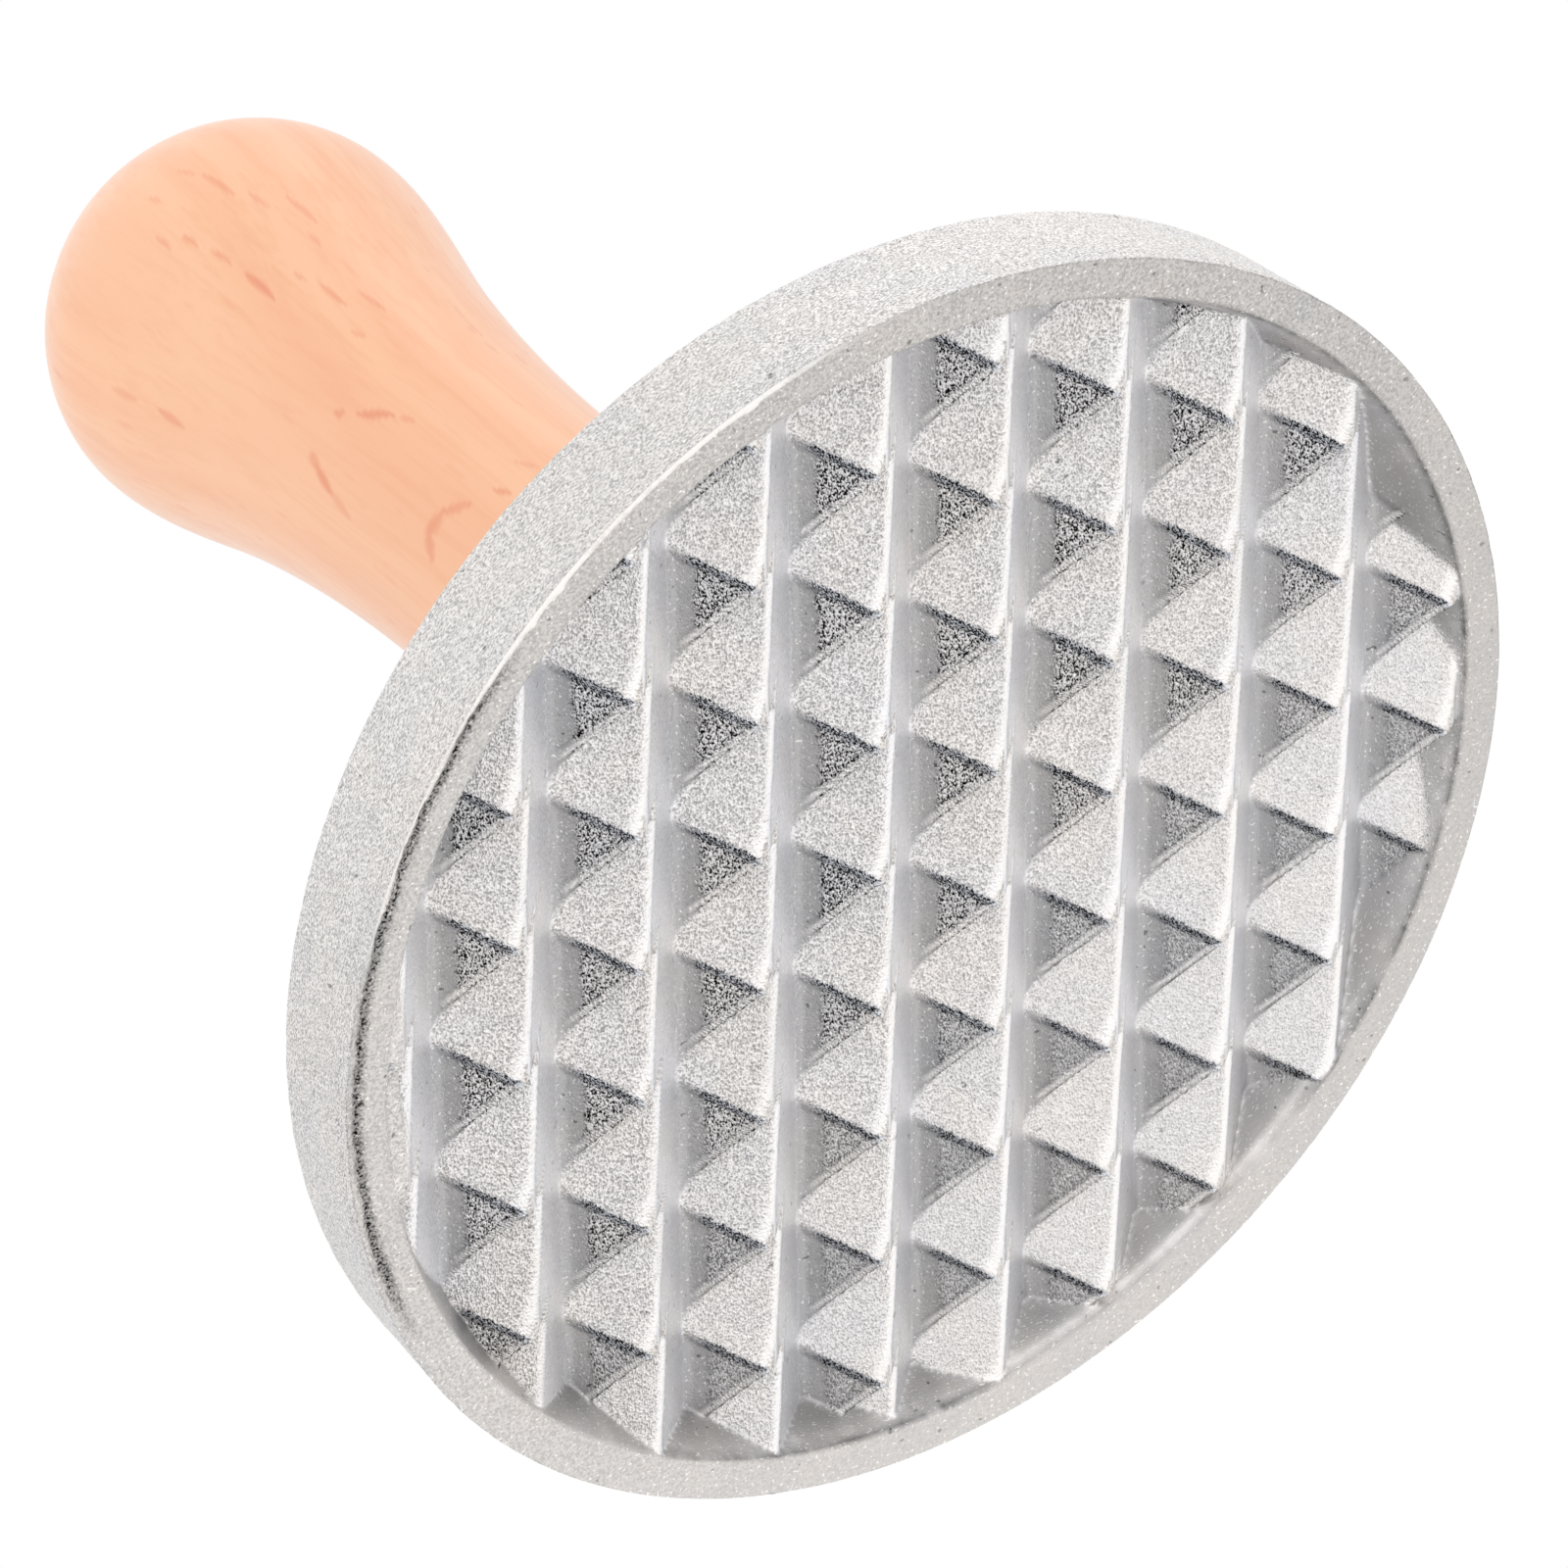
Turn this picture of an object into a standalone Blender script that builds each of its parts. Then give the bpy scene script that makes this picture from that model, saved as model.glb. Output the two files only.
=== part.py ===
"""Cookie stamp: a cast aluminium head, a turned beech handle and the steel stud between them.

The stamp stands on its rim, with the handle up. The origin is the centre of the rim's flat face,
+Z is the handle's axis, and the grooves of the face run along Y.
"""

import math

import bmesh
import bpy
from mathutils import Vector

MM = 0.001

# Casting, from the rim's face up
HEAD_RADIUS = 38.0 * MM
HEAD_THICKNESS = 7.1 * MM
SIDE_TAPER = 0.45 * MM
EDGE_ROUND = 0.5 * MM
RIM_WIDTH = 2.45 * MM
RECESS_DRAFT = math.radians(22.0)
FACE_FLOOR = 1.4 * MM
BOSS_RADIUS = 11.0 * MM
BOSS_HEIGHT = 5.0 * MM
BOSS_FILLET = 2.0 * MM

# Grooves of the face. A facet is cut into one flank of each groove, once in every facet pitch
GROOVE_SPACING = 7.69 * MM
GROOVE_DEPTH = 3.4 * MM
RIDGE_FLAT = 0.3 * MM
FACET_PITCH = 8.61 * MM
FACET_DROP = 2.3 * MM
FACET_SHIFT = 4.55 * MM
FACET_FOOT = 2.6 * MM
FACET_HEEL = 3.6 * MM
PATTERN_X = -3.57 * MM
PATTERN_Y = -10.93 * MM

# Stud, a hanger bolt
STUD_RADIUS = 3.0 * MM
STUD_IN_HANDLE = 22.0 * MM
STUD_CHAMFER = 0.7 * MM
FIT = 0.3 * MM

# Handle, with each radius at its height above the foot
FOOT_RADIUS = 11.0 * MM
FOOT_BAND = 2.2 * MM
FOOT_ROUND = 0.6 * MM
WAIST_RADIUS = 8.8 * MM
WAIST_HEIGHT = 29.5 * MM
SHOULDER_RADIUS = 10.25 * MM
SHOULDER_HEIGHT = 46.5 * MM
BULB_RADIUS = 12.5 * MM
BULB_HEIGHT = 58.6 * MM
HANDLE_LENGTH = 70.1 * MM

ROUND_STEPS = 96
HANDLE_STEPS = 64

BOSS_TOP = HEAD_THICKNESS + BOSS_HEIGHT
BORE_FLOOR = GROOVE_DEPTH + FACE_FLOOR
HANDLE_FOOT = BOSS_TOP + FIT
RECESS_RADIUS = HEAD_RADIUS - RIM_WIDTH


def clear_scene():
    for obj in list(bpy.data.objects):
        bpy.data.objects.remove(obj)


def new_collection(name, hidden=False):
    collection = bpy.data.collections.new(name)
    collection.hide_render = hidden
    bpy.context.scene.collection.children.link(collection)
    return collection


def material(name, colour, roughness, metallic):
    made = bpy.data.materials.new(name)
    made.use_nodes = True
    shader = made.node_tree.nodes["Principled BSDF"]
    shader.inputs["Base Color"].default_value = (*colour, 1.0)
    shader.inputs["Roughness"].default_value = roughness
    shader.inputs["Metallic"].default_value = metallic
    return made


def mesh_object(name, bm, collection):
    mesh = bpy.data.meshes.new(name)
    bm.to_mesh(mesh)
    bm.free()
    obj = bpy.data.objects.new(name, mesh)
    collection.objects.link(obj)
    return obj


def turned(name, profile, steps, collection):
    """A solid of revolution. The profile of (radius, height) runs down its outer side."""
    bm = bmesh.new()
    points = [bm.verts.new((radius, 0.0, height)) for radius, height in profile]
    for start, end in zip(points, points[1:]):
        bm.edges.new((start, end))
    obj = mesh_object(name, bm, collection)
    screw = obj.modifiers.new("turn", "SCREW")
    screw.steps = steps
    screw.render_steps = steps
    screw.use_merge_vertices = True
    screw.merge_threshold = 0.00002
    return obj


def cutter(obj):
    obj.hide_render = True
    obj.display_type = "WIRE"
    return obj


def boolean(obj, other, operation):
    modifier = obj.modifiers.new(operation.lower(), "BOOLEAN")
    modifier.operation = operation
    modifier.solver = "EXACT"
    modifier.object = other
    return modifier


def arc(centre, radius, start, end, steps):
    """Points of a circular arc in the profile's plane, from one angle in degrees to the other."""
    angles = [math.radians(start + (end - start) * i / steps) for i in range(steps + 1)]
    return [(centre[0] + radius * math.cos(a), centre[1] + radius * math.sin(a)) for a in angles]


def add_prism(bm, outline, heights):
    """Extrudes a plan outline downwards from heights[0] to heights[1], each a function of x and y."""
    face = bm.faces.new([bm.verts.new((x, y, heights[0](x, y))) for x, y in outline])
    side = bmesh.ops.extrude_face_region(bm, geom=[face])["geom"]
    for vert in (item for item in side if isinstance(item, bmesh.types.BMVert)):
        vert.co.z = heights[1](vert.co.x, vert.co.y)


def groove_centres():
    """The x of each groove's bottom, for all the grooves that the recess reaches."""
    reach = RECESS_RADIUS + GROOVE_SPACING
    first = math.ceil((-reach - PATTERN_X) / GROOVE_SPACING)
    last = math.floor((reach - PATTERN_X) / GROOVE_SPACING)
    return [(i, PATTERN_X + (i - 0.5) * GROOVE_SPACING) for i in range(first, last + 1)]


def groove_cutter(collection):
    """One V-shaped bar for each groove, wide end at the rim's face."""
    below = 0.1 * MM
    half = (GROOVE_SPACING - RIDGE_FLAT) / 2
    spread = half * (1 + below / GROOVE_DEPTH)
    bm = bmesh.new()
    for _, x in groove_centres():
        ends = [bm.verts.new(p) for p in ((x - spread, 0, -below), (x + spread, 0, -below), (x, 0, GROOVE_DEPTH))]
        face = bm.faces.new(ends)
        side = bmesh.ops.extrude_face_region(bm, geom=[face])["geom"]
        for vert in (item for item in side if isinstance(item, bmesh.types.BMVert)):
            vert.co.y = HEAD_RADIUS
        for vert in ends:
            vert.co.y = -HEAD_RADIUS
    bmesh.ops.recalc_face_normals(bm, faces=bm.faces)
    return cutter(mesh_object("groove_cutter", bm, collection))


def facet_cutter(collection):
    """The slanted facets: each falls from its low corner on the ridge to a step under the next ridge corner."""
    below = -0.6 * MM
    slack = 0.25 * MM
    valley = -GROOVE_SPACING / 2
    fall = FACET_DROP / FACET_PITCH
    climb = (GROOVE_DEPTH - fall * FACET_FOOT) / -valley
    beyond = FACET_DROP / climb
    outline = [
        (valley + 0.1 * MM, FACET_FOOT - slack),
        (valley + 0.1 * MM, FACET_HEEL),
        (0.0, FACET_PITCH),
        (beyond, FACET_PITCH),
        (0.0, -slack),
    ]
    bm = bmesh.new()
    for column, x in groove_centres():
        ridge = x - valley
        corner = PATTERN_Y + FACET_SHIFT * column
        rows = math.ceil(2 * HEAD_RADIUS / FACET_PITCH)
        middle = round(corner / FACET_PITCH)
        for row in range(-rows // 2 - middle, rows // 2 + 2 - middle):
            foot = corner + row * FACET_PITCH
            far = math.hypot(x, foot - FACET_PITCH / 2)
            if far > RECESS_RADIUS + FACET_PITCH:
                continue
            add_prism(
                bm,
                [(ridge + dx, foot - along) for dx, along in outline],
                (
                    lambda px, py: below,
                    lambda px, py, r=ridge, f=foot: fall * (f - py) - climb * (px - r),
                ),
            )
    bmesh.ops.recalc_face_normals(bm, faces=bm.faces)
    return cutter(mesh_object("facet_cutter", bm, collection))


def recess_cutter(collection):
    """The drafted recess, filled only by the space in and above the grooves and facets."""
    below = 0.5 * MM
    deep = GROOVE_DEPTH + 0.5 * MM
    spread = math.tan(RECESS_DRAFT)
    bm = bmesh.new()
    bmesh.ops.create_cone(
        bm,
        cap_ends=True,
        segments=ROUND_STEPS,
        radius1=RECESS_RADIUS + below * spread,
        radius2=RECESS_RADIUS - deep * spread,
        depth=deep + below,
    )
    bmesh.ops.translate(bm, verts=bm.verts, vec=Vector((0, 0, (deep - below) / 2)))
    recess = cutter(mesh_object("recess_cutter", bm, collection))
    grooves = groove_cutter(collection)
    boolean(grooves, facet_cutter(collection), "UNION").use_self = True
    boolean(recess, grooves, "INTERSECT")
    return recess


def stamp_head(parts, cutters):
    back = HEAD_RADIUS - SIDE_TAPER
    bore = STUD_RADIUS + FIT
    root = BOSS_RADIUS + BOSS_FILLET
    profile = [(0.0, BORE_FLOOR), (bore, BORE_FLOOR), (bore, BOSS_TOP)]
    profile += arc((BOSS_RADIUS - EDGE_ROUND, BOSS_TOP - EDGE_ROUND), EDGE_ROUND, 90, 0, 3)
    profile += arc((root, HEAD_THICKNESS + BOSS_FILLET), BOSS_FILLET, 180, 270, 4)
    profile += arc((back - EDGE_ROUND, HEAD_THICKNESS - EDGE_ROUND), EDGE_ROUND, 90, 0, 3)
    profile += [(HEAD_RADIUS, 0.0), (0.0, 0.0)]
    head = turned("stamp_head", profile, ROUND_STEPS, parts)
    boolean(head, recess_cutter(cutters), "DIFFERENCE")
    head.data.materials.append(material("cast_aluminium", (0.66, 0.65, 0.64), 0.45, 1.0))
    return head


def handle_radius(height):
    """The handle's radius at a height above its foot, on smooth curves through its named radii."""
    marks = [
        (FOOT_BAND, FOOT_RADIUS),
        (WAIST_HEIGHT, WAIST_RADIUS),
        (SHOULDER_HEIGHT, SHOULDER_RADIUS),
        (BULB_HEIGHT, BULB_RADIUS),
    ]
    slopes = [0.0, 0.0, 0.0, 0.0]
    slopes[0] = -2.2 * (FOOT_RADIUS - WAIST_RADIUS) / (WAIST_HEIGHT - FOOT_BAND)
    slopes[2] = 1.4 * (BULB_RADIUS - WAIST_RADIUS) / (BULB_HEIGHT - WAIST_HEIGHT)
    for i in range(len(marks) - 1):
        (low, start), (high, end) = marks[i], marks[i + 1]
        if height <= high:
            span = high - low
            t = (height - low) / span
            return (
                start * (1 + 2 * t) * (1 - t) ** 2
                + end * t * t * (3 - 2 * t)
                + slopes[i] * span * t * (1 - t) ** 2
                - slopes[i + 1] * span * t * t * (1 - t)
            )
    rise = (height - BULB_HEIGHT) / (HANDLE_LENGTH - BULB_HEIGHT)
    return BULB_RADIUS * math.sqrt(max(0.0, 1 - rise * rise))


def handle(parts):
    dome = 10
    body = 22
    hole = STUD_RADIUS + FIT
    hole_end = STUD_IN_HANDLE + FIT
    heights = [
        BULB_HEIGHT + (HANDLE_LENGTH - BULB_HEIGHT) * math.cos(math.radians(90 * i / dome))
        for i in range(dome)
    ]
    heights += [BULB_HEIGHT + (FOOT_BAND - BULB_HEIGHT) * i / body for i in range(body + 1)]
    profile = [(handle_radius(h), h) for h in heights]
    profile[0] = (0.0, HANDLE_LENGTH)
    profile += arc((FOOT_RADIUS - FOOT_ROUND, FOOT_ROUND), FOOT_ROUND, 0, -90, 3)
    profile += [(hole, 0.0), (hole, hole_end), (0.0, hole_end)]
    made = turned("handle", profile, HANDLE_STEPS, parts)
    made.location.z = HANDLE_FOOT
    made.data.materials.append(material("beech", (0.80, 0.55, 0.36), 0.5, 0.0))
    return made


def threaded_stud(parts):
    low = BORE_FLOOR + FIT
    high = HANDLE_FOOT + STUD_IN_HANDLE
    profile = [
        (0.0, high),
        (STUD_RADIUS - STUD_CHAMFER, high),
        (STUD_RADIUS, high - 2 * STUD_CHAMFER),
        (STUD_RADIUS, low + STUD_CHAMFER),
        (STUD_RADIUS - STUD_CHAMFER, low),
        (0.0, low),
    ]
    stud = turned("threaded_stud", profile, 32, parts)
    stud.data.materials.append(material("zinc_plated_steel", (0.62, 0.63, 0.65), 0.35, 1.0))
    return stud


def main():
    clear_scene()
    parts = new_collection("cookie_stamp")
    cutters = new_collection("cookie_stamp_cutters", hidden=True)
    stamp_head(parts, cutters)
    handle(parts)
    threaded_stud(parts)


main()
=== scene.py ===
import math

import bpy
import numpy as np
from mathutils import Matrix, Vector


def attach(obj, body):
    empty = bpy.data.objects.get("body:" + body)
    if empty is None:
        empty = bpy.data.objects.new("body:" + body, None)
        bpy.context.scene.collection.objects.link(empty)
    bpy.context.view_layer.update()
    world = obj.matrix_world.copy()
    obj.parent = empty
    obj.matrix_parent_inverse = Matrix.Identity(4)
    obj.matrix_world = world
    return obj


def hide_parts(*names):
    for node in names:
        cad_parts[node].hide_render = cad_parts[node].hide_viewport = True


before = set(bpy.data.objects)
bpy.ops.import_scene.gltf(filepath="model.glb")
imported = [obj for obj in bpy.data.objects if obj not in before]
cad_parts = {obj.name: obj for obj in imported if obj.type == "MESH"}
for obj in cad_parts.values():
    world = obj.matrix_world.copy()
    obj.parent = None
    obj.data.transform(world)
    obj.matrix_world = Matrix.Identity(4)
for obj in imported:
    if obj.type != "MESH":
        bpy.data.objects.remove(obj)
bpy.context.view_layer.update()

MM = 0.001

# Head, in millimetres, from the rim's face up. The face's grid ends just inside the side wall
HEAD_RADIUS = 38.0
HEAD_THICKNESS = 7.1
SIDE_TAPER = 0.45
SIDE_ROUND = 0.45
FACE_RADIUS = 37.94
RIM_LIFT = 0.1
RECESS_RADIUS = 35.6
RECESS_X = 0.14
WALL_DRAFT = math.tan(math.radians(22.5))
BOSS_RADIUS = 11.0
BOSS_HEIGHT = 5.0
BOSS_FILLET = 2.0
BOSS_ROUND = 0.5
BORE_FLOOR = 4.8
BORE_CHAMFER = 0.3

# Stud, in millimetres
STUD_RADIUS = 3.0
STUD_IN_HANDLE = 22.0
FIT = 0.3
MACHINE_PITCH = 1.0
MACHINE_CORE = 2.47
WOOD_PITCH = 2.5
WOOD_CORE = 2.1

# Handle, in millimetres, with each radius at its height above the foot
FOOT_RADIUS = 11.0
FOOT_BAND = 2.2
FOOT_ROUND = 0.6
WAIST_RADIUS = 8.8
WAIST_HEIGHT = 29.5
SHOULDER_RADIUS = 10.25
SHOULDER_HEIGHT = 46.5
BULB_RADIUS = 12.5
BULB_HEIGHT = 58.6
HANDLE_LENGTH = 70.1

BORE_RADIUS = STUD_RADIUS + FIT
BOSS_TOP = HEAD_THICKNESS + BOSS_HEIGHT
HANDLE_FOOT = BOSS_TOP + FIT
STUD_LOW = BORE_FLOOR + FIT
STUD_HIGH = HANDLE_FOOT + STUD_IN_HANDLE

# Relief of the face, in millimetres. A ridge runs along Y at PATTERN_X and at each spacing from it
GROOVE_SPACING = 7.69
FACET_PITCH = 8.61
FACET_SHIFT = 4.55
PATTERN_X = -3.57
PATTERN_Y = -10.93
FACET_STEP = 0.45
FOOT_WIDTH = 0.6
CREST_WIDTH = 0.3
LIP_HEIGHT = 0.09
VALLEY = GROOVE_SPACING / 2
LAST_RIDGE_X = PATTERN_X - 4 * GROOVE_SPACING

# Depth gained for each millimetre across a flank, and across and along a facet
FLANK_SLOPE = 0.884
FACET_CLIMB = 0.702
FACET_FALL = 0.27

# How a facet's crest line and foot line slant, and how much of a length along Y is square to them
CREST_SLANT = 0.583 * FACET_PITCH / VALLEY
CREST_SQUARE = 0.61
FOOT_SLANT = 0.30 * FACET_PITCH / VALLEY
FOOT_SQUARE = 0.83

# Ragged outer edge of the rim, in millimetres: a flash, and the channel behind it
FLASH_RADIUS = 37.55
FLASH_RISE = 0.16
FLASH_HEIGHT = 0.11
CHANNEL_RADIUS = 37.28
CHANNEL_WIDTH = 0.3
CHANNEL_DEPTH = 0.16

# Stretches of the face's turn from +X, in degrees: the middle and half the width of each
FLASH_STRETCH = (229, 32)
TORN_STRETCH = (238, 18)
CHANNEL_STRETCH = (191, 31)
LIT_STRETCH = (64, 20)
LEANING_STRETCH = (-6, 22)

# A depth and a distance, in millimetres, for points that a groove or a line doesn't reach
NO_DEPTH = -5.0
FAR = 9.0

# Cells from the face's middle to its edge, points round the handle and the stud, and how many
# points round the face's edge go to one round the back
FACE_CELLS = 235
HANDLE_POINTS = 400
STUD_POINTS = 48
BACK_SHARE = 10

# Metal of the side wall and the back, in the terms of face_look
BACK_LOOK = {"tone": 1.13, "grit": 0.85, "coarse": 0.16, "warm": 0.3}

# The photograph's camera, in the part's own frame
PHOTO_WIDTH = 1600
SENSOR_WIDTH = 36.0
FOCAL_PIXELS = 9324.85
CAMERA_PLACE = Vector((-6.09021, -7.54638, -8.61867)) * (HEAD_RADIUS * MM)
CAMERA_RIGHT = Vector((0.82486, 0.00997, -0.56525))
CAMERA_DOWN = Vector((-0.32987, 0.82048, -0.46690))
CAMERA_BACK = -CAMERA_RIGHT.cross(CAMERA_DOWN)

# Stage, in metres. The lamps and the card are turned to a point just inside the head
LAMP_DISTANCE = 0.9
CARD_DISTANCE = 0.7
CARD_RADIUS = 0.36
CARD_SIDES = 32
AIM = Vector((0, 0, 0.01))
FLOOR_HALF = 3
FLOOR_Z = -0.0002
WHITE_STRENGTH = 1.0
LIGHT_STRENGTH = 0.95

# Dark marks in the handle's grain on the side that faces the camera: the turn from -X in degrees
# and the height in millimetres of both ends, half the width in millimetres, and the strength
MARKS = [
    ((74.9, 70.1), (76.3, 67.5), 0.22, 0.7),
    ((80.3, 66.9), (81.1, 65.4), 0.2, 0.6),
    ((88.0, 65.6), (90.2, 63.1), 0.22, 0.65),
    ((85.0, 62.4), (86.1, 61.2), 0.2, 0.6),
    ((57.9, 67.4), (58.4, 66.2), 0.24, 0.75),
    ((60.5, 65.3), (61.4, 63.7), 0.2, 0.7),
    ((62.2, 62.6), (62.5, 60.0), 0.3, 1.0),
    ((76.6, 58.9), (76.9, 56.6), 0.22, 0.75),
    ((84.1, 56.8), (86.3, 54.7), 0.22, 0.65),
    ((53.3, 68.8), (53.3, 67.6), 0.22, 0.6),
    ((72.9, 60.5), (73.8, 59.7), 0.2, 0.6),
    ((71.3, 71.6), (73.2, 70.4), 0.2, 0.5),
    ((59.7, 71.6), (61.4, 70.3), 0.2, 0.5),
    ((72.2, 54.6), (73.7, 53.7), 0.2, 0.6),
    ((46.1, 51.0), (47.8, 50.5), 0.4, 0.85),
    ((51.2, 49.6), (58.5, 47.7), 0.36, 1.0),
    ((60.1, 47.1), (62.5, 46.1), 0.25, 0.6),
    ((61.0, 37.6), (64.5, 36.5), 0.25, 0.9),
    ((74.3, 38.3), (78.5, 37.0), 0.2, 0.6),
    ((29.3, 51.2), (25.8, 50.2), 0.4, 0.7),
    ((26.4, 50.4), (21.2, 48.5), 0.36, 1.0),
    ((21.8, 48.7), (18.0, 46.5), 0.3, 0.5),
    ((51.2, 38.3), (42.5, 39.7), 0.4, 0.8),
    ((43.5, 39.7), (32.0, 39.8), 0.5, 0.85),
    ((33.5, 39.9), (25.7, 38.6), 0.42, 0.8),
    ((11.4, 63.3), (10.4, 61.4), 0.35, 0.7),
    ((9.6, 66.9), (10.7, 65.0), 0.35, 0.5),
]
SEEN_TURN = 55
SEEN_HALF = 50
CHANCE_MARKS = 420


def smoothstep(t):
    t = np.clip(t, 0.0, 1.0)
    return t * t * (3 - 2 * t)


def ramp(value, start, end):
    """From 0 where the value is start to 1 where it is end, with both ends eased."""
    return smoothstep((value - start) / (end - start))


def bell(value, middle, width):
    """One where the value is middle, falling off to both sides over the width."""
    return np.exp(-(((value - middle) / width) ** 2))


def soft_max(a, b, k):
    return np.maximum(a, b) + np.maximum(k - np.abs(a - b), 0.0) ** 2 / (4 * k)


def soft_min(a, b, k):
    return -soft_max(-a, -b, k)


def nearer(a, b):
    """Whichever of the two distances is the shorter at each point, with its sign."""
    return np.where(np.abs(a) < np.abs(b), a, b)


def changed(value, *changes):
    """The value raised by each (strength, place), or lowered where the strength is below 0."""
    for strength, place in changes:
        value = value * (1 + strength * place)
    return value


def turned_by(turn, start):
    """Degrees from start to turn, from -180 to 180."""
    return (turn - start + 180) % 360 - 180


def window(turn, middle, half):
    """One within half of the middle angle, fading out over 10 degrees, all in degrees."""
    return ramp(np.abs(turned_by(turn, middle)), half + 5, half - 5)


def value_noise(points, size, seed):
    """Smooth noise from -1 to 1 over an array of points, with features of the given size."""
    table = np.random.default_rng(seed).uniform(-1, 1, (32, 32, 32))
    p = points / size + 1000.5
    base = np.floor(p).astype(int)
    t = p - base
    t = t * t * (3 - 2 * t)
    total = 0.0
    for corner in range(8):
        bits = [(corner >> axis) & 1 for axis in range(3)]
        weight = 1.0
        for axis in range(3):
            weight = weight * (t[:, axis] if bits[axis] else 1 - t[:, axis])
        index = [(base[:, axis] + bits[axis]) % 32 for axis in range(3)]
        total = total + weight * table[index[0], index[1], index[2]]
    return total


def layered_noise(points, *layers):
    """Sum of noises, each given by its strength, the size of its features and its seed."""
    return sum(strength * value_noise(points, size, seed) for strength, size, seed in layers)


def groove(x, y, column):
    """Depth of one column's groove over x and y, and what each point of it belongs to."""
    across = PATTERN_X + GROOVE_SPACING * column - x
    plain = FLANK_SLOPE * across
    smooth_side = FLANK_SLOPE * (GROOVE_SPACING - across)
    behind_corner = np.mod(PATTERN_Y + FACET_SHIFT * column - y, FACET_PITCH)
    slant_sum = 0.0
    slant_max = np.minimum(plain, 0.0)
    share = 0.0
    foot_line = np.full_like(x, FAR)
    crest_line = np.full_like(x, FAR)
    for cell in (-1, 0, 1):
        along = behind_corner + cell * FACET_PITCH
        foot = (along - FOOT_SLANT * across) * FOOT_SQUARE
        crest = (FACET_PITCH - CREST_SLANT * across - along) * CREST_SQUARE
        weight = np.clip(foot / FOOT_WIDTH + 1.0, 0, 1) * ramp(crest, -CREST_WIDTH / 2, CREST_WIDTH / 2)
        facet = np.maximum(FACET_CLIMB * across + FACET_FALL * along - FACET_STEP, 0.0)
        slant_sum = slant_sum + weight * (facet - plain)
        slant_max = np.maximum(slant_max, weight * facet + (1 - weight) * plain)
        share = np.maximum(share, weight)
        foot_line = nearer(foot, foot_line)
        crest_line = nearer(crest, crest_line)
    lip = bell(crest_line, -0.36, 0.11) * ramp(across, 0.1, 0.5) * ramp(across, 3.8, 3.3)
    flank = np.where(across > 0, plain + slant_sum, slant_max) - LIP_HEIGHT * lip
    depth = soft_min(smooth_side, flank, 0.9 - 0.5 * share)
    half_blend = 0.65 - 0.4 * share
    facts = {
        "across": across,
        "share": share,
        "over": weight,
        "smooth": ramp(flank - smooth_side, -half_blend, half_blend),
        "foot": foot_line,
        "crest": crest_line,
    }
    return np.where(smooth_side > -1.0, depth, NO_DEPTH), facts


def relief(x, y):
    """Depth of the face below the rim at x and y, with the kinds of surface there.

    A facet's share is how far a point belongs to one, and over is the share of the facet that
    reaches past the foot of the next.
    """
    middle = np.floor((x - PATTERN_X) / GROOVE_SPACING) + 1
    depth = np.full_like(x, NO_DEPTH)
    deepest = np.full_like(x, -FAR)
    second = np.full_like(x, -FAR)
    kinds = {}
    for step in (-1, 0, 1):
        groove_depth, facts = groove(x, y, middle + step)
        wins = groove_depth > deepest
        second = np.where(wins, deepest, np.maximum(second, groove_depth))
        deepest = np.where(wins, groove_depth, deepest)
        for name, value in facts.items():
            kinds[name] = np.where(wins, value, kinds.get(name, value))
        depth = soft_max(depth, groove_depth, 0.35)
    # The last column on the left only just marks the rim
    plain = ramp(x, LAST_RIDGE_X + 0.4, LAST_RIDGE_X - 0.1)
    depth = depth * (1 - 0.72 * plain)
    from_recess = np.hypot(x - RECESS_X, y) - RECESS_RADIUS
    # The wall leans further out on the right
    lean = WALL_DRAFT * (1 + 0.6 * window(np.degrees(np.arctan2(y, x)), *LEANING_STRETCH))
    wall = soft_max(-from_recess / lean, 0.0, 0.3)
    kinds["wall"] = ramp(depth - wall, -0.275, 0.275)
    kinds["rim"] = ramp(from_recess, -0.125, 0.125)
    kinds["plain"] = plain * (1 - kinds["rim"])
    kinds["edge"] = from_recess
    kinds["ridge"] = (deepest - second) / (FACET_CLIMB + FLANK_SLOPE)
    return soft_min(np.maximum(depth, 0.0), wall, 0.42), kinds


def rim_edge(x, y, flat):
    """The rim's ragged outer edge: where its flash and its channel are, and how strong."""
    radius = np.hypot(x, y)
    turn = np.degrees(np.arctan2(y, x)) % 360
    ragged = layered_noise(flat, (1.0, 0.9, 12), (0.6, 0.35, 13))
    flashed = window(turn, *FLASH_STRETCH)
    torn = window(turn, *TORN_STRETCH)
    spread = 0.3 * torn * np.clip(ragged + 0.3, 0, 1)
    flash = smoothstep((radius - FLASH_RADIUS - 0.12 * ragged + spread) / FLASH_RISE)
    channel = bell(radius - CHANNEL_RADIUS, 0.1 * ragged, CHANNEL_WIDTH)
    return {
        "ragged": ragged,
        "flash": flash * (0.25 + 0.75 * flashed) * (0.75 + 0.25 * ragged),
        # How strong the painted highlight on the flash is, most over the flashed and torn stretches.
        "bright": 0.5 * flashed + 0.3 * torn,
        "channel": channel * window(turn, *CHANNEL_STRETCH),
        "lit": window(turn, *LIT_STRETCH),
    }


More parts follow.
